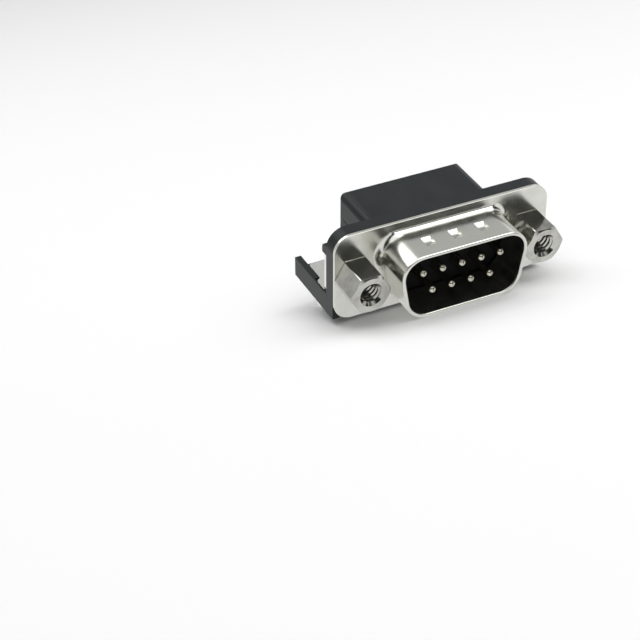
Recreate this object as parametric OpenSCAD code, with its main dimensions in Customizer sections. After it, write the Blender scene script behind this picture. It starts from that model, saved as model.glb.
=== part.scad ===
// Right-angle board-mount D-sub plug, nine contacts, with hex jackscrews and board locks.
// Frame: X across the panel, Y backwards from the front face of the metal flange,
// Z up from the circuit board. The origin is in the middle of the flange, on the board.

/* [Contacts] */
// Distance between contacts in one row
pitch = 2.77; // [2.7:0.01:2.84]
// Distance between the two rows, on the face and on the board
row_gap = 2.84; // [2.54:0.01:2.9]
// Diameter of a pin
pin_d = 1.02; // [0.9:0.01:1.1]
// Distance from the flange to the tips of the pins
pin_reach = 5.5; // [4.8:0.1:5.6]
// Width of the strip behind a pin
strip_w = 0.42; // [0.3:0.02:0.5]
// Thickness of the strip behind a pin
strip_t = 0.3; // [0.2:0.02:0.4]
// Diameter of a rolled solder tail
tail_d = 0.66; // [0.5:0.02:0.72]
// Bore of a rolled solder tail
tail_bore = 0.3; // [0.2:0.02:0.4]
// How far the tails reach below the board's top face
tail_reach = 2.95; // [2.4:0.05:3.6]
// Distance from the flange to the front row of tails
first_row = 7.35; // [7:0.05:7.6]

/* [Front shell] */
// Distance from the outermost contact to the widest point inside the D
mate_end = 2.92; // [2.7:0.02:3.1]
// Distance from there to the jackscrew
screw_gap = 4.035; // [3.9:0.005:4.4]
// Distance from the D's top and bottom to the edge of the metal flange
flange_edge = 2.07; // [1.8:0.01:2.6]
// Corner radius of the metal flange
flange_r = 2.4; // [1.5:0.1:3]
// Thickness of the drawn sheet
sheet_t = 0.5; // [0.35:0.05:0.6]
// Inside height of the D
mate_h = 8.36; // [8.1:0.1:8.6]
// Inside corner radius of the D
mate_r = 2.6; // [2.2:0.1:2.9]
// Lean of the two short sides of the D, in degrees
mate_lean = 10; // [8:1:12]
// Depth of the D skirt in front of the flange
shell_depth = 6.2; // [5.6:0.1:6.8]
// Radius of the draw between flange and skirt
draw_r = 0.8; // [0.5:0.1:1]
// Width of one grounding dimple
dimple_w = 1.35; // [1:0.05:1.8]
// Length of one grounding dimple
dimple_l = 1.9; // [1.4:0.1:2.4]
// How far a dimple is pressed into the sheet
dimple_sink = 0.38; // [0.2:0.01:0.42]
// Distance between two dimples
dimple_pitch = 3.84; // [3:0.01:4.2]
// Distance from the flange to the middle of the dimples
dimple_y = 3.2; // [2.6:0.1:3.8]
// Number of dimples in the wide side
dimple_n = 3; // [1:2:3]

/* [Housing] */
// Width of the bay behind each jackscrew
ear_w = 3.7; // [3.6:0.05:4]
// Wall between that bay and the outer side
rim_w = 1.06; // [0.8:0.02:1.3]
// Distance from the widest point of the D to the side of the rear box
box_side = 0.44; // [0.3:0.01:0.7]
// Distance from the side of the rear box in to the side of the comb
rail_side = 0.35; // [0.3:0.01:0.5]
// Distance from the rear row of tails to the back of the housing
back_gap = 1.51; // [1.4:0.01:2.2]
// Distance from the board lock's middle to the back of the pad under the bracket
pad_gap = 0.83; // [0.6:0.01:1.4]
// Distance from the flange's front face to the back of the moulded flange
slab_back = 2.35; // [2.1:0.05:2.6]
// Height of the rear box above the board
box_h = 10.9; // [10.5:0.1:11.6]
// Radius of the long top edges of the rear box
box_r = 1.1; // [0.8:0.1:1.6]
// Radius of the back edges of the rear box
edge_r = 0.3; // [0.2:0.1:0.6]
// Wall of the rear box
wall_t = 0.9; // [0.7:0.05:1.1]
// Thickness of the foot's floor at its back end
floor_t = 1.1; // [0.9:0.05:1.3]
// Height of the foot's pad that carries the bracket
pad_h = 2.05; // [1.8:0.05:2.3]
// Thickness of the foot's outer lip
lip_t = 0.85; // [0.6:0.05:1]
// Distance from the flange's front face to the front end of the lip
lip_front = 6.2; // [5.6:0.1:7]
// Height of the step beside the rear box
rail_h = 2.8; // [2.4:0.1:3.2]
// Length of the deep nut pocket behind the flange, up to here
pocket_back = 3.3; // [3.1:0.05:3.6]
// Length of the shallow recess under the foot, up to here
recess_back = 6.8; // [6.2:0.1:6.9]
// Depth of the shallow recess under the foot
recess_t = 0.45; // [0.2:0.05:0.6]
// Height of the underside of the ledge behind the moulded flange
ledge_z = 8.75; // [8.4:0.05:9]
// Thickness of that ledge
ledge_t = 1.3; // [1:0.1:1.6]
// Distance from the flange's front face to the back of that ledge
ledge_back = 3.5; // [3.45:0.05:3.9]
// Distance from the flange's front face to the back of the lower band
band_back = 1.75; // [1.6:0.05:1.95]
// Clearance round a moulded part that fits in another
fit = 0.05; // [0.03:0.01:0.08]

/* [Comb] */
// Height of the comb's underside above the board
comb_z = 0.4; // [0.25:0.05:0.5]
// Height of the comb's top above the board
comb_top = 3.5; // [3.2:0.05:3.6]
// Distance from the flange's front face to the front edge of the comb
comb_front = 2.7; // [2.4:0.05:3]
// Width of one slot in the comb
slot_w = 0.76; // [0.74:0.01:0.85]
// Distance from the back of the comb to the ends of its fins
fin_short = 0.35; // [0.2:0.05:0.6]

/* [Rear cover] */
// Distance from the side of the rear box to the side of the rear cover
cover_side = 1.55; // [1.4:0.05:2]
// Distance from the top of the rear box to the top edge of the rear cover
cover_drop = 0.85; // [0.7:0.05:1.2]
// Gap between the comb and the rear cover's lower edge
cover_lift = 0.15; // [0.1:0.01:0.3]
// Thickness of the rear cover
cover_t = 0.8; // [0.6:0.05:0.9]
// Radius of the rear cover's upper corners
cover_r = 1; // [0.6:0.1:1.4]
// Width of the parting gap round the rear cover
cover_gap = 0.1; // [0.06:0.01:0.14]

/* [Brackets and board locks] */
// Thickness of the bracket's sheet
bracket_t = 0.65; // [0.5:0.05:0.7]
// Outside bend radius of the bracket
bend_r = 0.9; // [0.75:0.05:1.1]
// Distance from the housing's side to the bracket
bracket_in = 0.15; // [0.1:0.05:0.25]
// Diameter of the hole for a board lock in the foot
lock_hole = 3.7; // [3.6:0.05:3.9]
// Diameter of a board lock at its knees
lock_d = 3.44; // [3.2:0.02:3.5]
// Thickness of a board lock's sheet
lock_t = 0.3; // [0.2:0.02:0.36]
// How far a board lock reaches below the board's top face
lock_reach = 3.9; // [3.4:0.1:4.4]
// Width of the slit between the two prongs
lock_slit = 0.48; // [0.36:0.02:0.6]

/* [Jackscrews] */
// Width across flats of a jackscrew
hex_af = 5; // [4.7:0.05:5.1]
// Length of a jackscrew in front of the flange
hex_l = 4.7; // [4.4:0.1:5]
// Radius of the female thread, at its crests
tap_r = 1.2; // [1.1:0.02:1.25]
// Depth of the female thread
tap_depth = 4.2; // [3.5:0.1:4.3]
// Diameter of the mouth's countersink
mouth_d = 3.3; // [3:0.1:3.6]
// Diameter of the stud behind the flange
stud_d = 2.7; // [2.6:0.02:2.74]
// Distance from the flange's front face to the end of the stud
stud_back = 4.6; // [4.2:0.1:5.4]

/* [Hidden] */
$fn = 48;
eps = 0.01;
top_n = 5;
low_n = top_n - 1;
mate_w = (top_n - 1) * pitch + 2 * mate_end;
screw_x = mate_w / 2 + screw_gap;
rail_out = screw_x - ear_w / 2;
side_x = screw_x + ear_w / 2 + rim_w;
flange_w = 2 * side_x;
flange_h = mate_h + 2 * flange_edge;
box_w = mate_w + 2 * box_side;
rail_in = box_w / 2 - rail_side;
mid_z = flange_h / 2;
top_z = mid_z + row_gap / 2;
low_z = mid_z - row_gap / 2;
rear_row = first_row + row_gap;
lock_y = first_row + row_gap / 2;
screw_hole = 3.05;
bore_fit = 0.02;
body_back = rear_row + back_gap;
pad_back = lock_y + pad_gap;
lip_h = pad_h + bracket_t + fit;
cover_w = box_w - 2 * cover_side;
cover_z = comb_top + cover_lift;
cover_top = box_h - cover_drop;
slot_end = 0.23;
slot_step = 1.05;
slot_span = (top_n - 1) / 2 * pitch + slot_w / 2 + slot_end;
long_slot = first_row + slot_step;
skirt_r = sheet_t + draw_r;
root_w = 0.3;
slab_over = 0.2;
draw_steps = 6;
rim_steps = 5;
corner_steps = 9;
slab_r = flange_r + slab_over;
ear_wall = 0.25;
ear_back = 6.05;
ear_r = 0.8;
leg_y = 2.8;
collar_r = ear_w / 2 - fit;
lock_base = lock_hole - 2 * fit;
root_z = 0.9;
waist_z = -0.3;
knee_z = -1.7;
tip_r = 0.8;
slit_z = 7.2;
slit_w = 0.14;
slit_front = 3.85;
slit_rear = body_back - 1.1;
lock_room = 0.15;
seat_side = 1.64;
seat_top = 1.02;
seat_w = mate_w + 2 * seat_side;
seat_h = mate_h + 2 * seat_top;
seat_back = 1.3;
face_out = 0.4;
block_back = 3.9;
pin_back = 2.2;
land_t = 0.35;
cover_land = 0.6;
face_gap = 0.1;
wall_in = body_back - cover_t - land_t;
far = 20;
top_x = [for (i = [0 : top_n - 1]) (i - (top_n - 1) / 2) * pitch];
low_x = [for (i = [0 : low_n - 1]) (i - (low_n - 1) / 2) * pitch];

// Corners of the D, clockwise: centre, then the first and last direction of its arc.
// The widest point of the upper corners lies at mate_w / 2.
top_cx = mate_w / 2 - mate_r;
cz = mate_h / 2 - mate_r;
low_cx = top_cx - 2 * cz * tan(mate_lean);
d_corners = [[top_cx, cz, 90, -mate_lean], [low_cx, -cz, -mate_lean, -90],
    [-low_cx, -cz, -90, mate_lean - 180], [-top_cx, cz, mate_lean - 180, -270]];
// Steps of centre and direction right round the D.
d_path = [for (c = d_corners) for (i = [0 : corner_steps])
    [c[0], c[1], c[2] + (c[3] - c[2]) * i / corner_steps]];

// ---------- helpers ----------

// A shape drawn in X and Z, pulled along Y from y0 to y1.
module along_y(y0, y1) {
    translate([0, y1, 0]) rotate([90, 0, 0]) linear_extrude(y1 - y0) children();
}

// A shape drawn in Y and Z, pulled along X from x0 to x1.
module along_x(x0, x1) {
    translate([x0, 0, 0]) rotate([90, 0, 90]) linear_extrude(x1 - x0) children();
}

// A box between two corners.
module block(a, b) {
    translate(a) cube(b - a);
}

// A rectangle with round upper corners and square lower ones.
module arch(w, z0, z1, r) {
    translate([-w / 2, z0]) square([w, z1 - z0 - r]);
    translate([-w / 2 + r, z0]) square([w - 2 * r, z1 - z0]);
    for (s = [-1, 1]) translate([s * (w / 2 - r), z1 - r]) circle(r);
}

// A rectangle with four round corners, centred.
module round_rect(w, h, r) {
    square([w - 2 * r, h], center = true);
    square([w, h - 2 * r], center = true);
    for (sx = [-1, 1], sz = [-1, 1]) translate([sx * (w / 2 - r), sz * (h / 2 - r)]) circle(r);
}

// The D outline, grown outwards by g from the inside of the skirt.
module d_profile(g) {
    polygon([for (p = d_path) [p[0], p[1]] + (mate_r + g) * [cos(p[2]), sin(p[2])]]);
}

// Points of an arc about c from angle a0 to a1 in n steps.
function arc_points(c, r, a0, a1, n) =
    [for (i = [0 : n]) c + r * [cos(a0 + (a1 - a0) * i / n), sin(a0 + (a1 - a0) * i / n)]];

// ---------- front shell ----------

// The skirt with its round rim and its draw radius, swept round the D in one closed surface.
// In its section, x runs outwards from the skirt's inside and y forwards from the flange.
module skirt() {
    draw_centre = [skirt_r, draw_r];
    section = concat([[skirt_r + root_w, -sheet_t]],
        arc_points(draw_centre, skirt_r, 270, 180, draw_steps),
        arc_points([sheet_t / 2, shell_depth - sheet_t / 2], sheet_t / 2, 180, 0, rim_steps),
        arc_points(draw_centre, draw_r, 180, 270, draw_steps),
        [[skirt_r + root_w, 0]]);
    k = len(section);
    n = len(d_path);
    polyhedron(
        [for (p = d_path) for (q = section) let (r = mate_r + q[0])
            [p[0] + r * cos(p[2]), -q[1], p[1] + r * sin(p[2])]],
        [for (i = [0 : n - 1]) for (j = [0 : k - 1])
            let (i2 = (i + 1) % n, j2 = (j + 1) % k)
            [i * k + j, i * k + j2, i2 * k + j2, i2 * k + j]]);
}

// Cylinder along X whose wall touches dimple_sink below the plane z, over the dimple's length.
module dimple_roll(x, z, grow, w) {
    r = (pow(dimple_l / 2, 2) + pow(dimple_sink, 2)) / (2 * dimple_sink);
    translate([x - w / 2, -dimple_y, z + r - dimple_sink]) rotate([0, 90, 0])
        cylinder(h = w, r = r + grow);
}

module front_shell() color("#cfd0c8") translate([0, 0, mid_z]) {
    dimples = [for (i = [0 : dimple_n - 1]) (i - (dimple_n - 1) / 2) * dimple_pitch];
    skin = mate_h / 2 + sheet_t;
    difference() {
        union() {
            along_y(0, sheet_t) difference() {
                round_rect(flange_w, flange_h, flange_r);
                d_profile(skirt_r + root_w / 2);
                for (s = [-1, 1]) translate([s * screw_x, 0]) circle(d = screw_hole);
            }
            skirt();
            for (x = dimples) intersection() {
                dimple_roll(x, skin, sheet_t, dimple_w + sheet_t);
                block([x - dimple_w, -shell_depth + sheet_t, skin - sheet_t - dimple_sink],
                    [x + dimple_w, -draw_r, skin - sheet_t / 2]);
            }
        }
        for (x = dimples) dimple_roll(x, skin, 0, dimple_w);
    }
}

// ---------- housing ----------

// Outer form of the box behind the moulded flange.
module rear_box() {
    intersection() {
        along_y(band_back, body_back) arch(box_w, 0, box_h, box_r);
        along_x(-box_w / 2, box_w / 2) union() {
            square([body_back - edge_r, box_h]);
            square([body_back, box_h - edge_r]);
            translate([body_back - edge_r, box_h - edge_r]) circle(edge_r);
        }
        linear_extrude(box_h) union() {
            translate([-box_w / 2, 0]) square([box_w, body_back - edge_r]);
            translate([-box_w / 2 + edge_r, 0]) square([box_w - 2 * edge_r, body_back]);
            for (s = [-1, 1]) translate([s * (box_w / 2 - edge_r), body_back - edge_r])
                circle(edge_r);
        }
    }
}

// One foot with its pad, outer lip and the rail beside the comb, on the +X side.
module foot() {
    block([rail_in, slab_back, 0], [side_x, pad_back, pad_h]);
    block([rail_in, slab_back, 0], [side_x, body_back, floor_t]);
    block([rail_in, slab_back, 0], [rail_out, body_back, rail_h]);
    block([side_x - lip_t, lip_front, 0], [side_x, body_back, lip_h]);
    block([side_x - ear_wall, slab_back, 0], [side_x, lip_front, lip_h]);
    block([box_w / 2 - wall_t, slab_back - eps, ledge_z], [side_x, ledge_back, ledge_z + ledge_t]);
}

// What is open in one foot: the deep pocket, the shallow recess and the board lock's hole.
module foot_openings() {
    base = lock_base / 2 + fit;
    block([rail_out, sheet_t - eps, -far], [side_x - rim_w, pocket_back, ledge_z]);
    block([rail_out, sheet_t, -far], [side_x - rim_w, recess_back, recess_t]);
    translate([screw_x, lock_y, -eps]) cylinder(h = lip_h, d = lock_hole);
    block([screw_x - base, lock_y - base, pad_h - lock_t - lock_room],
        [screw_x + base, body_back + eps, lip_h + eps]);
    // parting slit in the side of the rear box
    block([box_w / 2 - slit_w, slit_front, slit_z], [side_x, slit_rear, slit_z + slit_w]);
}

module housing() color("#2c2f30") difference() {
    union() {
        along_y(sheet_t, slab_back) arch(flange_w, 0, flange_h, slab_r);
        rear_box();
        for (m = [0, 1]) mirror([m, 0, 0]) foot();
    }
    // seat of the insulator, open to the front
    translate([0, 0, mid_z]) along_y(sheet_t - eps, seat_back)
        round_rect(seat_w, seat_h, mate_r);
    block([-box_w / 2 + wall_t, sheet_t, comb_top + fit],
        [box_w / 2 - wall_t, wall_in, box_h - wall_t]);
    // bay of the comb, open below and at the back
    block([-rail_in, band_back, -eps], [rail_in, body_back + eps, comb_top + fit]);
    // opening for the rear cover
    along_y(wall_in - eps, body_back + eps)
        arch(cover_w - 2 * cover_land, comb_top, cover_top - cover_land, cover_r);
    along_y(body_back - cover_t - bore_fit, body_back + eps)
        arch(cover_w + 2 * cover_gap, comb_top, cover_top + cover_gap, cover_r + cover_gap);
    for (m = [0, 1]) mirror([m, 0, 0]) foot_openings();
}

// ---------- insulator ----------

module insulator() color("#17181a") difference() {
    union() {
        translate([0, 0, mid_z]) {
            along_y(-face_out, sheet_t + fit) d_profile(-face_gap);
            along_y(sheet_t + fit, seat_back - fit)
                round_rect(seat_w - 2 * fit, seat_h - 2 * fit, mate_r - fit);
        }
        block([-box_w / 2 + wall_t + fit, seat_back - fit - eps, comb_top + 2 * fit],
            [box_w / 2 - wall_t - fit, block_back, box_h - wall_t - fit]);
    }
    for (p = concat([for (x = top_x) [x, top_z]], [for (x = low_x) [x, low_z]]))
        translate([p[0], -far / 2, p[1]]) rotate([-90, 0, 0])
            cylinder(h = far, d = pin_d + 2 * bore_fit);
}

// ---------- comb ----------

module tail_comb() color("#2c2f30") {
    slope_l = 1.6;
    slope_h = 1;
    mark_in = 0.62;
    mark_z = 1.9;
    mark_d = 0.9;
    line_in = 0.7;
    line_z = 2.7;
    line_w = 0.12;
    line_t = 0.15;
    difference() {
        block([-rail_in + fit, comb_front, comb_z], [rail_in - fit, body_back, comb_top]);
        // holes of the front tails
        for (x = low_x) translate([x, first_row, 0]) cylinder(h = comb_top + eps, d = slot_w);
        // long slots behind them, and short ones that hold the rear tails
        for (x = low_x) block([x - slot_w / 2, long_slot, 0],
            [x + slot_w / 2, body_back + eps, comb_top + eps]);
        for (x = top_x) block([x - slot_w / 2, rear_row - slot_w / 2, 0],
            [x + slot_w / 2, body_back + eps, comb_top + eps]);
        // the fins end short of the back and slope down to it
        block([-slot_span, body_back - fin_short, 0],
            [slot_span, body_back + eps, comb_top + eps]);
        along_x(-slot_span, slot_span) polygon([[body_back - slope_l - eps, comb_z - eps],
            [body_back, comb_z - eps], [body_back, comb_z + slope_h]]);
        // latch marks in the back
        translate([mark_in - rail_in, body_back - mark_d / 2, mark_z]) rotate([-90, 0, 0])
            cylinder(h = mark_d, d = mark_d);
        block([slot_span + line_in, body_back - line_t, line_z],
            [rail_in - mark_in, body_back + eps, line_z + line_w]);
    }
}

// ---------- rear cover ----------

module rear_cover() color("#2f3233") {
    along_y(body_back - cover_t, body_back) arch(cover_w, cover_z, cover_top, cover_r);
}

// ---------- contacts ----------

// One contact in one piece: rolled pin, strip, bend and rolled tail.
module contact(x, z, row) color("#c9c7b4") translate([x, 0, 0]) {
    bend = 0.6;
    seam = 0.1;
    seam_end = 0.8;
    roll_top = comb_z + 0.1;
    bore_top = 0.2;
    // pin with the seam of its rolled edge
    difference() {
        translate([0, -pin_reach + pin_d / 2, z]) union() {
            rotate([-90, 0, 0]) cylinder(h = pin_reach - pin_d / 2 + pin_back, d = pin_d);
            sphere(d = pin_d);
        }
        block([-seam / 2, -pin_reach - eps, z], [seam / 2, -seam_end, z + pin_d]);
    }
    // strip, bend and strip down to the tail
    block([-strip_w / 2, pin_back - eps, z - strip_t / 2],
        [strip_w / 2, row - bend, z + strip_t / 2]);
    translate([0, row - bend, z - bend]) rotate([90, 0, 90]) translate([0, 0, -strip_w / 2])
        rotate_extrude(angle = 90) translate([bend - strip_t / 2, 0]) square([strip_t, strip_w]);
    block([-strip_w / 2, row - strip_t / 2, comb_z], [strip_w / 2, row + strip_t / 2, z - bend]);
    // rolled tail, open along its back
    translate([0, row, -tail_reach]) difference() {
        cylinder(h = tail_reach + roll_top, d = tail_d);
        translate([0, 0, -eps]) cylinder(h = tail_reach + bore_top, d = tail_bore);
        block([-seam / 2, 0, -eps], [seam / 2, tail_d, tail_reach + bore_top]);
    }
}

// ---------- brackets ----------

// The +X bracket: an angle whose upright leg has a drawn collar for the jackscrew's stud.
module bracket() color("#b9bab4") {
    inner = rail_out + 0.1;
    outer = side_x - ear_wall - fit;
    plate = side_x - lip_t - 0.1;
    back = leg_y + bracket_t;
    end_r = 0.5;
    end = pad_back - fit - end_r;
    difference() {
        union() {
            // upright leg and bend
            block([inner, leg_y, pad_h + bend_r], [outer, back, ledge_z - fit]);
            translate([inner, leg_y + bend_r, pad_h + bend_r]) rotate([90, 0, 90])
                rotate([0, 0, 180]) rotate_extrude(angle = 90)
                    translate([bend_r - bracket_t, 0]) square([bracket_t, outer - inner]);
            // flat leg on the pad, with its ear
            translate([0, 0, pad_h]) linear_extrude(bracket_t) {
                translate([inner, leg_y + bend_r])
                    square([outer - inner, ear_back - ear_r - leg_y - bend_r]);
                translate([inner, ear_back - ear_r - eps])
                    square([outer - ear_r - inner, ear_r + eps]);
                translate([outer - ear_r, ear_back - ear_r]) circle(ear_r);
                translate([inner, ear_back - eps]) square([plate - inner, end - ear_back + eps]);
                translate([inner, end - eps]) square([plate - end_r - inner, end_r]);
                translate([plate - end_r, end - eps]) circle(end_r);
            }
            // collar through the pocket up to the metal flange
            translate([screw_x, sheet_t + bore_fit, mid_z]) rotate([-90, 0, 0])
                cylinder(h = leg_y - sheet_t, r = collar_r);
        }
        translate([screw_x, 0, mid_z]) rotate([-90, 0, 0])
            cylinder(h = back + eps, r = stud_d / 2 + bore_fit);
    }
}

// ---------- board locks ----------

// Wall of the board lock in radius and height: root, waist, knee and tip.
module lock_wall() {
    root = lock_d / 2 - 0.05;
    waist = lock_d / 2 - 0.35;
    knee = lock_d / 2;
    outer = [[root, pad_h - bore_fit], [root, root_z], [waist, waist_z], [knee, knee_z],
        [tip_r, -lock_reach]];
    inner = [[tip_r - lock_t, -lock_reach], [knee - lock_t, knee_z], [waist - lock_t, waist_z],
        [root - lock_t, root_z], [root - lock_t, pad_h - bore_fit]];
    polygon(concat(outer, inner));
}

// The +X board lock: a rolled sheet with two prongs, two short tabs and a square base.
module board_lock() color("#c4c5bf") translate([screw_x, lock_y, 0]) {
    root = lock_d / 2 - 0.05;
    tab_z = -1.55;
    tab_w = 1.1;
    cut_w = 0.14;
    notch = 0.5;
    window_w = 0.8;
    window_z = [-0.9, 0.6];
    difference() {
        rotate_extrude($fn = 64) lock_wall();
        // slit between the prongs, wide below each tab, with a V up into it
        block([-lock_slit / 2, -lock_d, -lock_reach - eps],
            [lock_slit / 2, lock_d, tab_z - lock_t]);
        block([-tab_w / 2, -lock_d, tab_z - 1.5 * lock_t], [tab_w / 2, lock_d, tab_z]);
        translate([0, lock_d, tab_z]) rotate([90, 0, 0]) rotate([0, 0, 45])
            translate([-notch / 2, -notch / 2, 0]) cube([notch, notch, 2 * lock_d]);
        // cuts beside the tabs
        for (s = [-1, 1]) translate([s * tab_w / 2, 0, 0])
            block([-cut_w / 2, -lock_d, tab_z - cut_w], [cut_w / 2, lock_d, root_z - cut_w]);
        // windows in the outer walls
        block([-lock_d, -window_w / 2, window_z[0]], [lock_d, window_w / 2, window_z[1]]);
    }
    // square base, pressed between the pad and the bracket
    difference() {
        block([-lock_base / 2, -lock_base / 2, pad_h - bore_fit - lock_t],
            [lock_base / 2, pad_back - lock_y - fit, pad_h - bore_fit]);
        cylinder(h = pad_h + eps, r = root - lock_t);
    }
}

// ---------- jackscrews ----------

// The +X jackscrew, turned from hexagon bar with its stud behind the flange.
module jackscrew() color("#c6c7c0") translate([screw_x, 0, mid_z]) rotate([90, 0, 0]) {
    corner_r = hex_af / sqrt(3);
    face_r = hex_af / 2 - 0.1;
    chamfer = (corner_r - face_r) * tan(40);
    stud_tip = 0.4;
    mouth_h = mouth_d / 2 - tap_r;
    difference() {
        union() {
            // hexagon with its round chamfered face
            intersection() {
                cylinder(h = hex_l, r = corner_r, $fn = 6);
                union() {
                    cylinder(h = hex_l - chamfer, r = corner_r + eps);
                    translate([0, 0, hex_l - chamfer])
                        cylinder(h = chamfer, r1 = corner_r, r2 = face_r);
                }
            }
            // stud
            translate([0, 0, -stud_back + stud_tip])
                cylinder(h = stud_back - stud_tip + eps, d = stud_d);
            translate([0, 0, -stud_back])
                cylinder(h = stud_tip, d1 = stud_d - 2 * stud_tip, d2 = stud_d);
        }
        translate([0, 0, hex_l - tap_depth]) cylinder(h = tap_depth + eps, r = tap_r);
        translate([0, 0, hex_l - mouth_h])
            cylinder(h = mouth_h + eps, r1 = tap_r, r2 = mouth_d / 2 + eps);
    }
}

front_shell();
housing();
insulator();
tail_comb();
rear_cover();
contact(top_x[0], top_z, rear_row);  // contact_1
contact(top_x[1], top_z, rear_row);  // contact_2
contact(top_x[2], top_z, rear_row);  // contact_3
contact(top_x[3], top_z, rear_row);  // contact_4
contact(top_x[4], top_z, rear_row);  // contact_5
contact(low_x[0], low_z, first_row);  // contact_6
contact(low_x[1], low_z, first_row);  // contact_7
contact(low_x[2], low_z, first_row);  // contact_8
contact(low_x[3], low_z, first_row);  // contact_9
mirror([1, 0, 0]) bracket();  // bracket_left
bracket();  // bracket_right
mirror([1, 0, 0]) board_lock();  // board_lock_left
board_lock();  // board_lock_right
mirror([1, 0, 0]) jackscrew();  // jackscrew_left
jackscrew();  // jackscrew_right
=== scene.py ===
import math
import bpy
from mathutils import Matrix, Vector


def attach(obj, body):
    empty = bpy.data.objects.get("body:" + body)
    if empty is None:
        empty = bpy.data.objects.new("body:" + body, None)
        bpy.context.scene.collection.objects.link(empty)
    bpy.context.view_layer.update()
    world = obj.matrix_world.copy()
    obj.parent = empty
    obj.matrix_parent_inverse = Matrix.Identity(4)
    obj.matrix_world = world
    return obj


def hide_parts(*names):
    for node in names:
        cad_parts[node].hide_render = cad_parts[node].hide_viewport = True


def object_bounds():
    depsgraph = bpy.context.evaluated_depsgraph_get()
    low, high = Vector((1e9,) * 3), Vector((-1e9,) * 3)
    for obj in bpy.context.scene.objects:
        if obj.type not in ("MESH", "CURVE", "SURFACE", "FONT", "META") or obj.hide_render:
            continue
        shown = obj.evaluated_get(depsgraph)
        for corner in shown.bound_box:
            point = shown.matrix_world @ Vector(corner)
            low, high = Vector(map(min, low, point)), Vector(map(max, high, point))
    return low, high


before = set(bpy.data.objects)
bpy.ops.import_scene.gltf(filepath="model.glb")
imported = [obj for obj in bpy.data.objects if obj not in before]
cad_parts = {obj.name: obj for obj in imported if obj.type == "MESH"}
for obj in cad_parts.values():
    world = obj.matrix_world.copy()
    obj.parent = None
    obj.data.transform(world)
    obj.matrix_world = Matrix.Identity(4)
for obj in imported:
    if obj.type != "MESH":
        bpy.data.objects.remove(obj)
cad_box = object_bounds()

# ---------------------------------------------------------------- view
# The plug is looked down on from its left front, its mating face and the open
# D towards the viewer, with a long lens so that its edges stay nearly parallel.

lens = 104.4
stand = Vector((-0.0995, -0.1710, 0.14015))
ahead = Vector((0.349, 0.727, -0.592)).normalized()
across = Vector((0.901, -0.435, -0.002)).normalized()

view = bpy.data.cameras.new("view")
view.lens = lens
view.sensor_width = 36
view.clip_start = 0.01
camera = bpy.data.objects.new("view", view)
upright = across.cross(ahead).normalized()
camera.matrix_world = Matrix.Translation(stand) @ Matrix(
    (upright.cross(-ahead), upright, -ahead)).transposed().to_4x4()
bpy.context.collection.objects.link(camera)
bpy.context.scene.camera = camera
bpy.context.scene.view_settings.view_transform = "Standard"

# ---------------------------------------------------------------- front shell
# The metal front is drawn from one sheet of steel: a flat flange, a D-shaped skirt with
# a soft draw radius and a rolled rim, and three grounding dimples pressed into its wide
# side. The sheet is nickel plated after forming.

# Sizes and places are in millimetres, and settle() brings each finished piece to metres.
MM = 0.001
mid_z = 6.25
screw_x = 12.495
screw_hole, drill_long = 1.525, 4
sheet = 0.5
flange_size, flange_corner = (30.81, 12.5), 2.4
skirt_depth = 6.187
draw_radius = 1.0
# The D is a trapezium of these half sizes before its corners are rounded. Its two
# upper corners are 80 degrees and its two lower ones 100.
half_top, half_low, half_high = 9.5545, 7.9039, 4.68
upper_half_angle, lower_half_angle = math.radians(40), math.radians(50)
d_corner = 3.1
rim_round, edge_round, back_round, press_round = 0.2495, 0.08, 0.14, 0.07
dimple_back, dimple_step = -3.2, 3.84
dimple_wide, dimple_long, dimple_deep = 1.35, 1.9, 0.32
boss_box = (3, 3.6, 0.9)


class Wire:
    """One shader socket, with Python's arithmetic on it."""

    def __init__(self, tree, socket=None):
        self.tree, self.socket = tree, socket

    def node(self, kind, sockets=None, **settings):
        """Adds a node and gives back a function that reads its outputs."""
        made = self.tree.nodes.new(kind)
        for key, value in settings.items():
            setattr(made, key, value)
        for key, value in (sockets or {}).items():
            if isinstance(value, Wire):
                self.tree.links.new(value.socket, made.inputs[key])
            else:
                made.inputs[key].default_value = value
        return lambda name=0: Wire(self.tree, made.outputs[name])

    def math(self, operation, a, b):
        return self.node("ShaderNodeMath", {0: a, 1: b}, operation=operation)()

    def __add__(self, other):
        return self.math("ADD", self, other)

    def __radd__(self, other):
        return self.math("ADD", other, self)

    def __sub__(self, other):
        return self.math("SUBTRACT", self, other)

    def __rsub__(self, other):
        return self.math("SUBTRACT", other, self)

    def __mul__(self, other):
        return self.math("MULTIPLY", self, other)

    def __rmul__(self, other):
        return self.math("MULTIPLY", other, self)

    def between(self, low, high, out_low=0.0, out_high=1.0):
        """Goes smoothly from out_low to out_high as the value goes from low to high."""
        return self.node("ShaderNodeMapRange", {
            "Value": self, "From Min": low, "From Max": high,
            "To Min": out_low, "To Max": out_high}, interpolation_type="SMOOTHSTEP")()

    def blend(self, first, second):
        return self.node("ShaderNodeMix", {"Factor": self, 6: first, 7: second},
                         data_type="RGBA")(2)


def new_finish(name):
    finish = bpy.data.materials.new(name)
    finish.use_nodes = True
    finish.node_tree.nodes.clear()
    return finish, Wire(finish.node_tree)


def noise(wire, place, size_mm, detail, stretch=(1, 1, 1)):
    spread = wire.node("ShaderNodeMapping", {"Vector": place, "Scale": stretch})("Vector")
    return wire.node("ShaderNodeTexNoise", {
        "Vector": spread, "Scale": 1000 / size_mm, "Detail": detail, "Roughness": 0.55})(0)


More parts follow.
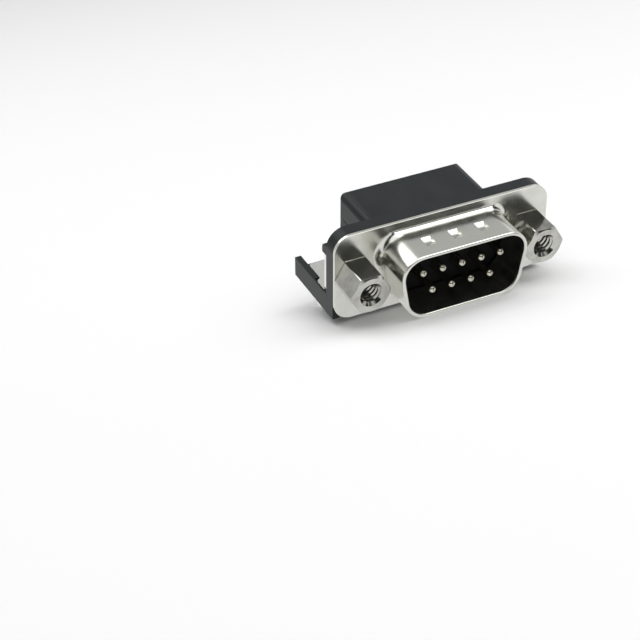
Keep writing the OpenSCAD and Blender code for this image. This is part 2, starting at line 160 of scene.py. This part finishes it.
def metal_finish(name, colour, dull_colour, rough, lines, line_depth, cloud):
    """Plated metal: clouded plating, rub marks drawn out along the lines, fine pits."""
    finish, wire = new_finish(name)
    place = wire.node("ShaderNodeTexCoord")("Object")
    clouds = noise(wire, place, 2.4, 4.0)
    rubs = noise(wire, place, 0.16, 2.0, lines)
    pits = noise(wire, place, 0.05, 2.0)
    tint = (clouds.between(0.35, 0.75) * cloud).blend((*colour, 1), (*dull_colour, 1))
    relief = rubs * line_depth + pits * 0.06
    bump = wire.node("ShaderNodeBump", {
        "Strength": 1.0, "Distance": 0.000008, "Height": relief})()
    patches = clouds.between(0.3, 0.8, rough * 0.85, rough * 1.3)
    shader = wire.node("ShaderNodeBsdfPrincipled", {
        "Base Color": tint, "Metallic": 1.0, "Normal": bump,
        "Roughness": patches + rubs * 0.04 - 0.02})()
    wire.node("ShaderNodeOutputMaterial", {"Surface": shader})
    return finish


def pick(piece, kind, test):
    """Selects only the faces, edges or vertices that pass the test, in edit mode."""
    bpy.ops.object.mode_set(mode="EDIT")
    bpy.ops.mesh.select_mode(type=kind)
    bpy.ops.mesh.select_all(action="DESELECT")
    bpy.ops.object.mode_set(mode="OBJECT")
    mesh = piece.data
    if kind == "VERT":
        for vertex in mesh.vertices:
            vertex.select = test(vertex.co)
    elif kind == "EDGE":
        for edge in mesh.edges:
            edge.select = test(*(mesh.vertices[i].co for i in edge.vertices))
    else:
        for face in mesh.polygons:
            face.select = test(face.center, face.normal)
    bpy.ops.object.mode_set(mode="EDIT")


def round_picked(radius, segments, what="EDGES"):
    """Bevels what is picked, and goes back to object mode."""
    bpy.ops.mesh.bevel(offset=radius, offset_type="OFFSET", segments=segments, profile=0.5,
                       affect=what)
    bpy.ops.object.mode_set(mode="OBJECT")


def take_up(piece):
    """Makes the piece the active one, and the only one that is selected."""
    bpy.ops.object.select_all(action="DESELECT")
    bpy.context.view_layer.objects.active = piece
    piece.select_set(True)


def primitive(add, name, **sizes):
    bpy.ops.object.select_all(action="DESELECT")
    add(**sizes)
    piece = bpy.context.object
    piece.name = name
    bpy.ops.object.transform_apply(location=True, rotation=True, scale=True)
    return piece


def modify(piece, kind, **settings):
    take_up(piece)
    modifier = piece.modifiers.new(kind.lower(), kind)
    for key, value in settings.items():
        setattr(modifier, key, value)
    bpy.ops.object.modifier_apply(modifier=modifier.name)


def soften(piece, width, segments, angle, **settings):
    """Bevels every edge that is sharper than the angle."""
    modify(piece, "BEVEL", width=width, segments=segments, limit_method="ANGLE",
           angle_limit=math.radians(angle), use_clamp_overlap=True, **settings)


def combine(piece, tool, operation):
    """Joins a tool to the piece, or cuts it with one, and closes the seam that is left."""
    modify(piece, "BOOLEAN", object=tool, operation=operation, solver="EXACT")
    bpy.data.objects.remove(tool)
    pick(piece, "VERT", lambda p: True)
    bpy.ops.mesh.remove_doubles(threshold=0.0003)
    bpy.ops.object.mode_set(mode="OBJECT")


def settle(piece, finish, node, angle):
    """Turns a piece modelled in millimetres into a finished one that stands for its node."""
    take_up(piece)
    bpy.ops.object.shade_smooth_by_angle(angle=math.radians(angle))
    modify(piece, "WEIGHTED_NORMAL", keep_sharp=True, weight=80)
    piece.scale = (MM, MM, MM)
    bpy.ops.object.transform_apply(location=True, rotation=True, scale=True)
    piece.data.materials.clear()
    piece.data.materials.append(finish)
    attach(piece, "root")
    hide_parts(node)


def drawn_outline(name, size, grow_top, reaches):
    """A flat face in the flange's plane, its upper and lower corners rounded by reaches."""
    face = primitive(bpy.ops.mesh.primitive_plane_add, name, size=1,
                     rotation=(math.radians(90), 0, 0))
    face.data.transform(Matrix.Diagonal((size[0], 1, size[1], 1)))
    pick(face, "VERT", lambda p: p.z > 0)
    bpy.ops.transform.resize(value=(grow_top, 1, 1))
    for upper, reach in zip((True, False), reaches):
        pick(face, "VERT",
             lambda p: (p.z > 0) == upper and abs(abs(p.z) - size[1] / 2) < 1e-4)
        round_picked(reach, 16, "VERTICES")
    return face


def open_up(piece):
    """Deletes the faces that look forwards or backwards, and keeps their outlines."""
    pick(piece, "FACE", lambda c, n: abs(n.y) > 0.5)
    bpy.ops.mesh.delete(type="ONLY_FACE")
    bpy.ops.object.mode_set(mode="OBJECT")


def at_draw(a, b):
    """Where the skirt meets the flange."""
    outer = (max(abs(a.x), abs(b.x)) > half_top + 0.1
             or max(abs(a.z), abs(b.z)) > half_high + 0.1)
    return abs(a.y) < 1e-5 and abs(b.y) < 1e-5 and not outer


def at_rim(a, b):
    """Along the skirt's front rim, and not across the sheet."""
    if max(a.y, b.y) >= -skirt_depth + 1e-4 or (a - b).length <= 1e-4:
        return False
    outwards = Vector((a.x, 0, a.z)).normalized()
    return abs((a - b).normalized().dot(outwards)) < 0.995


def at_flange_edge(a, b):
    """On the flange's own outline, and not on the D's."""
    ends_from = flange_size[0] / 2 - flange_corner - 0.05
    sides_from = flange_size[1] / 2 - 0.05
    return (min(abs(a.x), abs(b.x)) > ends_from
            or min(abs(a.z), abs(b.z)) > sides_from)


shell = drawn_outline("d_shell", (2 * half_low, 2 * half_high), half_top / half_low,
                      (d_corner / math.tan(upper_half_angle),
                       d_corner / math.tan(lower_half_angle)))
pick(shell, "FACE", lambda c, n: True)
bpy.ops.mesh.extrude_region_move(TRANSFORM_OT_translate={"value": (0, -skirt_depth, 0)})
open_up(shell)
flange = drawn_outline("flange", flange_size, 1.0, (flange_corner, flange_corner))
open_up(flange)
take_up(shell)
flange.select_set(True)
bpy.ops.object.join()
pick(shell, "EDGE", lambda a, b: abs(a.y) < 1e-5 and abs(b.y) < 1e-5)
bpy.ops.mesh.bridge_edge_loops()
bpy.ops.mesh.select_all(action="SELECT")
bpy.ops.mesh.normals_make_consistent(inside=False)
pick(shell, "EDGE", at_draw)
round_picked(draw_radius, 10)
facing = [face.normal.y for face in shell.data.polygons if abs(face.normal.y) > 0.99][0]
if facing > 0:
    pick(shell, "FACE", lambda c, n: True)
    bpy.ops.mesh.flip_normals()
    bpy.ops.object.mode_set(mode="OBJECT")
modify(shell, "SOLIDIFY", thickness=sheet, offset=-1, use_even_offset=True)
pick(shell, "EDGE", at_rim)
round_picked(rim_round, 6)
pick(shell, "EDGE", lambda a, b: -1e-4 < min(a.y, b.y) and max(a.y, b.y) < 1e-4
     and at_flange_edge(a, b))
round_picked(edge_round, 4)
pick(shell, "EDGE", lambda a, b: min(a.y, b.y) > sheet - 1e-4 and at_flange_edge(a, b))
round_picked(back_round, 3)

# Each dimple is pressed by a round die across the skirt, and its boss stands out inside.
die = (dimple_long ** 2 / 4 + dimple_deep ** 2) / (2 * dimple_deep)
for i in (-1, 0, 1):
    at = (i * dimple_step, dimple_back, half_high + die - dimple_deep)
    boss = primitive(bpy.ops.mesh.primitive_cylinder_add, "boss", vertices=96,
                     radius=die + sheet, depth=dimple_wide + sheet, location=at,
                     rotation=(0, math.radians(90), 0))
    trim = primitive(bpy.ops.mesh.primitive_cube_add, "trim", size=1, scale=boss_box,
                     location=(at[0], dimple_back, half_high - (sheet + boss_box[2]) / 2))
    combine(boss, trim, "INTERSECT")
    combine(shell, boss, "UNION")
    press = primitive(bpy.ops.mesh.primitive_cylinder_add, "press", vertices=96, radius=die,
                      depth=dimple_wide, location=at, rotation=(0, math.radians(90), 0))
    combine(shell, press, "DIFFERENCE")
for side in (-1, 1):
    drill = primitive(bpy.ops.mesh.primitive_cylinder_add, "drill", vertices=64,
                      radius=screw_hole, depth=drill_long, location=(side * screw_x, 0, 0),
                      rotation=(math.radians(90), 0, 0))
    combine(shell, drill, "DIFFERENCE")
soften(shell, press_round, 3, 38, miter_outer="MITER_ARC")
shell.data.transform(Matrix.Translation((0, 0, mid_z)))

nickel = metal_finish("nickel_plate", (0.70, 0.70, 0.655), (0.60, 0.60, 0.555), 0.21,
                      lines=(0.25, 1, 1), line_depth=0.05, cloud=0.6)
settle(shell, nickel, "front_shell", 35)

# ---------------------------------------------------------------- jackscrews
# Each is turned from nickel-plated hexagon bar: a chamfered hexagon with a countersunk
# mouth and a tapped bore, and behind it a threaded stud that goes through the shell and
# the housing into the bracket, and holds them together.

across_flats, hex_long, face_inset = 5.0, 4.7, 0.1
hex_round, hex_fine_round = 0.13, 0.04
chamfer_angle = math.radians(58)
pitch, flank, crest_wide = 0.635, 0.16, 0.17
bore_crest, bore_root, bore_deep = 1.2, 1.43, 4.2
mouth, sink_deep, sink_over = 1.65, 0.95, 0.2
stud_crest, stud_root, stud_long, stud_point = 1.35, 1.13, 4.6, 0.4
# How far the stud runs on into the hexagon, and the tap and the point's blank past them.
stud_over, tap_over, point_over = 0.3, 0.5, 1


def threaded_rod(name, crest, root, low, high):
    """A closed rod along Z with a right-hand thread, cut flat at both ends."""
    turns = int((high - low) / pitch) + 3
    rod = primitive(bpy.ops.mesh.primitive_plane_add, name, size=1)
    pick(rod, "VERT", lambda p: True)
    bpy.ops.mesh.merge(type="CENTER")
    bpy.ops.transform.translate(value=(root, 0, low - 1.5 * pitch))
    for turn in range(turns):
        for step in ((crest - root, 0, flank), (0, 0, crest_wide), (root - crest, 0, flank),
                     (0, 0, pitch - 2 * flank - crest_wide)):
            bpy.ops.mesh.extrude_region_move(TRANSFORM_OT_translate={"value": step})
    bpy.ops.object.mode_set(mode="OBJECT")
    modify(rod, "SCREW", angle=math.radians(360), screw_offset=pitch, steps=40,
           render_steps=40, iterations=1, axis="Z", use_merge_vertices=False)
    pick(rod, "VERT", lambda p: True)
    bpy.ops.mesh.remove_doubles(threshold=0.002)
    for level, outer in ((low, False), (high, True)):
        bpy.ops.mesh.select_all(action="SELECT")
        bpy.ops.mesh.bisect(plane_co=(0, 0, level), plane_no=(0, 0, 1), use_fill=True,
                            clear_inner=not outer, clear_outer=outer, threshold=1e-5)
    bpy.ops.mesh.select_all(action="SELECT")
    bpy.ops.mesh.normals_make_consistent(inside=False)
    bpy.ops.object.mode_set(mode="OBJECT")
    return rod


def twin(piece, name, shift):
    copy = piece.copy()
    copy.data = piece.data.copy()
    copy.name = name
    bpy.context.collection.objects.link(copy)
    copy.data.transform(Matrix.Translation(shift))
    return copy


screw = primitive(bpy.ops.mesh.primitive_cylinder_add, "jackscrew", vertices=6,
                  radius=across_flats / math.sqrt(3), depth=hex_long,
                  location=(0, 0, hex_long / 2), rotation=(0, 0, math.radians(30)))
face_radius = across_flats / 2 - face_inset
turned = primitive(bpy.ops.mesh.primitive_cone_add, "turned", vertices=96,
                   radius1=face_radius + hex_long * math.tan(chamfer_angle),
                   radius2=face_radius, depth=hex_long, location=(0, 0, hex_long / 2))
combine(screw, turned, "INTERSECT")
# The long edges and those at the flange all start at the foot of the hexagon.
pick(screw, "EDGE", lambda a, b: min(a.z, b.z) < 0.01 and (a - b).length > 0.5)
round_picked(hex_round, 3)
soften(screw, hex_fine_round, 2, 24)
stud = threaded_rod("stud", stud_crest, stud_root, -stud_long, stud_over)
point = primitive(bpy.ops.mesh.primitive_cylinder_add, "point", vertices=64,
                  radius=stud_crest + 0.02, depth=stud_long + point_over,
                  location=(0, 0, (point_over - stud_long) / 2))
pick(point, "EDGE", lambda a, b: max(a.z, b.z) < -stud_long + 0.01)
round_picked(stud_point, 2)
combine(stud, point, "INTERSECT")
combine(screw, stud, "UNION")
tap = threaded_rod("tap", bore_root, bore_crest, hex_long - bore_deep, hex_long + tap_over)
combine(screw, tap, "DIFFERENCE")
sink = primitive(bpy.ops.mesh.primitive_cone_add, "sink", vertices=96,
                 radius1=mouth + sink_over - sink_deep, radius2=mouth + sink_over,
                 depth=sink_deep, location=(0, 0, hex_long + sink_over - sink_deep / 2))
combine(screw, sink, "DIFFERENCE")
screw.data.transform(Matrix.Translation((screw_x, 0, mid_z))
                     @ Matrix.Rotation(math.radians(90), 4, "X"))

bar_nickel = metal_finish("turned_nickel", (0.55, 0.55, 0.51), (0.33, 0.325, 0.30), 0.14,
                          lines=(1, 0.12, 1), line_depth=0.4, cloud=0.9)
other_screw = twin(screw, "jackscrew_2", (-2 * screw_x, 0, 0))
settle(screw, bar_nickel, "jackscrew_right", 32)
settle(other_screw, bar_nickel, "jackscrew_left", 32)

# ---------------------------------------------------------------- housing
# The body behind the metal is moulded in black glass-filled thermoplastic: a thick
# flange, the rear box over the contacts and two feet with pockets below. Its edges
# are softly broken by the mould, and its skin is satin with a fine texture.

ledge_back, ledge_top, ledge_round = 3.5, 10.05, 0.5


def loose_copy(node, name):
    """A copy of a solid in millimetres, its triangles joined up into whole faces."""
    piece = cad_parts[node].copy()
    piece.data = piece.data.copy()
    piece.name = name
    piece.parent = None
    bpy.context.collection.objects.link(piece)
    take_up(piece)
    piece.data.transform(Matrix.Scale(1 / MM, 4))
    pick(piece, "VERT", lambda p: True)
    bpy.ops.mesh.remove_doubles(threshold=0.0005)
    bpy.ops.mesh.dissolve_limited(angle_limit=math.radians(0.3))
    bpy.ops.object.mode_set(mode="OBJECT")
    return piece


def moulded_finish(name, colour, worn_colour, rough, grain, gloss):
    """Moulded thermoplastic: satin skin with a fine spark texture and faint flow marks."""
    finish, wire = new_finish(name)
    place = wire.node("ShaderNodeTexCoord")("Object")
    flow = noise(wire, place, 3.5, 3.0, (1, 0.4, 1))
    skin = noise(wire, place, 0.14, 3.0)
    dust = noise(wire, place, 0.9, 5.0).between(0.55, 0.8)
    wear = flow.between(0.35, 0.7) * 0.6 + dust * 0.25
    tint = wear.blend((*colour, 1), (*worn_colour, 1))
    bump = wire.node("ShaderNodeBump", {
        "Strength": 1.0, "Distance": 0.00001, "Height": skin * grain})()
    patches = flow.between(0.3, 0.8, rough * 0.9, rough * 1.15)
    shader = wire.node("ShaderNodeBsdfPrincipled", {
        "Base Color": tint, "Specular IOR Level": gloss, "Normal": bump,
        "Roughness": patches + skin * 0.08 - 0.04})()
    wire.node("ShaderNodeOutputMaterial", {"Surface": shader})
    return finish


def at_ledge(a, b):
    """The upper back edge of the ledge on each side of the rear box."""
    return (abs(a.y - ledge_back) + abs(b.y - ledge_back) < 0.01
            and abs(a.z - ledge_top) + abs(b.z - ledge_top) < 0.01)


black = moulded_finish("black_moulding", (0.012, 0.015, 0.016), (0.019, 0.022, 0.023),
                       rough=0.36, grain=0.35, gloss=0.17)
body = loose_copy("housing", "moulded_body")
pick(body, "EDGE", at_ledge)
round_picked(ledge_round, 5)
soften(body, 0.09, 2, 30)
settle(body, black, "housing", 30)

# ---------------------------------------------------------------- tail comb and rear cover
# The comb is a second moulding, pushed in from behind to hold the solder tails on
# the board's grid. The rear cover closes the box above it and snaps flush.

comb = loose_copy("tail_comb", "comb")
soften(comb, 0.05, 2, 30)
settle(comb, black, "tail_comb", 30)
cover = loose_copy("rear_cover", "back_cover")
soften(cover, 0.09, 3, 30)
settle(cover, black, "rear_cover", 30)

# ---------------------------------------------------------------- insulator
# The block inside the D is moulded in black thermoplastic and carries the nine
# contacts. Its colour is set darker than the housing's, as painted shade for the deep
# recess of the D. It sits between the metal front and the housing.

# The near-black colour is painted shade: the block sits deep inside the D, where little light
# falls.
painted_shade_insert = moulded_finish("black_insert", (0.002, 0.002, 0.0025), (0.004, 0.004, 0.005),
                        rough=0.6, grain=0.15, gloss=0.2)
block = loose_copy("insulator", "contact_block")
soften(block, 0.05, 2, 30)
settle(block, painted_shade_insert, "insulator", 30)

# ---------------------------------------------------------------- contacts
# Nine contacts, each blanked from a strip of copper alloy, rolled into a pin at the
# front and into a thin tail below, and plated bright. Their pins have domed tips.

contact_plate = metal_finish("contact_plate", (0.60, 0.58, 0.50), (0.47, 0.45, 0.38), 0.13,
                             lines=(1, 0.2, 1), line_depth=0.08, cloud=0.5)
for i in range(1, 10):
    contact = loose_copy(f"contact_{i}", f"pin_{i}")
    soften(contact, 0.02, 2, 45)
    settle(contact, contact_plate, f"contact_{i}", 40)

# ---------------------------------------------------------------- brackets and board locks
# A stamped angle behind each jackscrew ties the flange to the foot, and clamps a
# rolled board lock whose two sprung prongs stand out below. Both are tin plated.

tin = metal_finish("tin_plate", (0.86, 0.86, 0.83), (0.74, 0.74, 0.71), 0.2,
                   lines=(1, 1, 1), line_depth=0.01, cloud=0.7)
for side in ("left", "right"):
    bracket = loose_copy(f"bracket_{side}", f"angle_{side}")
    soften(bracket, 0.13, 4, 30)
    settle(bracket, tin, f"bracket_{side}", 35)
    lock = loose_copy(f"board_lock_{side}", f"prongs_{side}")
    soften(lock, 0.03, 2, 30)
    settle(lock, tin, f"board_lock_{side}", 35)

# ---------------------------------------------------------------- floor
# A plain pale floor. The loose connector leans forward on the tips of its board locks
# and the lower rim of its skirt, so the floor slopes under it to touch both. From
# below, the floor is clear.

touch = 0.00002
under_locks = Vector((0, 0.0088, cad_box[0][2] - touch))
under_rim = Vector((0, -0.0062, (mid_z - half_high) * MM - touch))
slope = math.atan2(under_rim.z - under_locks.z, under_locks.y - under_rim.y)
floor = primitive(bpy.ops.mesh.primitive_plane_add, "floor", size=6,
                  location=(under_locks + under_rim) / 2, rotation=(-slope, 0, 0))
pick(floor, "FACE", lambda c, n: True)
bpy.ops.mesh.subdivide(number_cuts=4)
bpy.ops.object.mode_set(mode="OBJECT")

# Polished metal sees more of the floor's own white than of the shadow on it.
pale, wire = new_finish("pale_floor")
matt = wire.node("ShaderNodeBsdfDiffuse", {"Color": (0.9, 0.9, 0.9, 1)})()
white = wire.node("ShaderNodeEmission", {"Color": (1, 1, 1, 1), "Strength": 0.95})()
mirrored = wire.node("ShaderNodeLightPath")("Is Glossy Ray")
above = wire.node("ShaderNodeMixShader", {0: mirrored * 0.75 + 0.03, 1: matt, 2: white})()
clear = wire.node("ShaderNodeBsdfTransparent")()
below = wire.node("ShaderNodeNewGeometry")("Backfacing")
surface = wire.node("ShaderNodeMixShader", {0: below, 1: above, 2: clear})()
wire.node("ShaderNodeOutputMaterial", {"Surface": surface})
floor.data.materials.append(pale)

# ---------------------------------------------------------------- room and lamps
# The room has a white background, a wide soft light overhead and an unlit front, which
# gives bright metal its dark streaks. One large lamp hangs behind and one above.

room = bpy.data.worlds.new("studio")
bpy.context.scene.world = room
room.use_nodes = True
room.node_tree.nodes.clear()
wire = Wire(room.node_tree)
toward = wire.node("ShaderNodeSeparateXYZ", {0: wire.node("ShaderNodeTexCoord")("Generated")})
front = toward("Y").between(0.1, -0.35)
left = toward("X").between(-0.4, -0.7)
high = toward("Z").between(0.3, 0.5)
overhead = toward("Z").between(0.70, 0.80)
wall = 0.25 - front * 0.225
light = wall + overhead * (1.25 - wall)
ray = wire.node("ShaderNodeLightPath")
mirrored = ray("Is Glossy Ray") * (1.0 - front) * (1.0 - high * 0.65) * (1.0 - left * 0.5)
seen = wire.math("MAXIMUM", wire.math("MAXIMUM", ray("Is Camera Ray"), mirrored),
                 ray("Is Transmission Ray"))
strength = light + seen * (1.0 - light)
background = wire.node("ShaderNodeBackground", {"Color": (1, 1, 1, 1), "Strength": strength})()
wire.node("ShaderNodeOutputWorld", {"Surface": background})


def lamp(name, place, size, power):
    """A square soft lamp, turned towards the connector."""
    data = bpy.data.lights.new(name, "AREA")
    data.size = size
    data.energy = power
    holder = bpy.data.objects.new(name, data)
    holder.location = place
    aim = Vector((0, 0, 0.005)) - holder.location
    holder.rotation_euler = aim.to_track_quat("-Z", "Y").to_euler()
    bpy.context.collection.objects.link(holder)


lamp("behind_left", (-0.13, 0.33, 0.30), 0.30, 0.55)
lamp("top_right", (0.20, -0.02, 0.42), 0.46, 1.0)
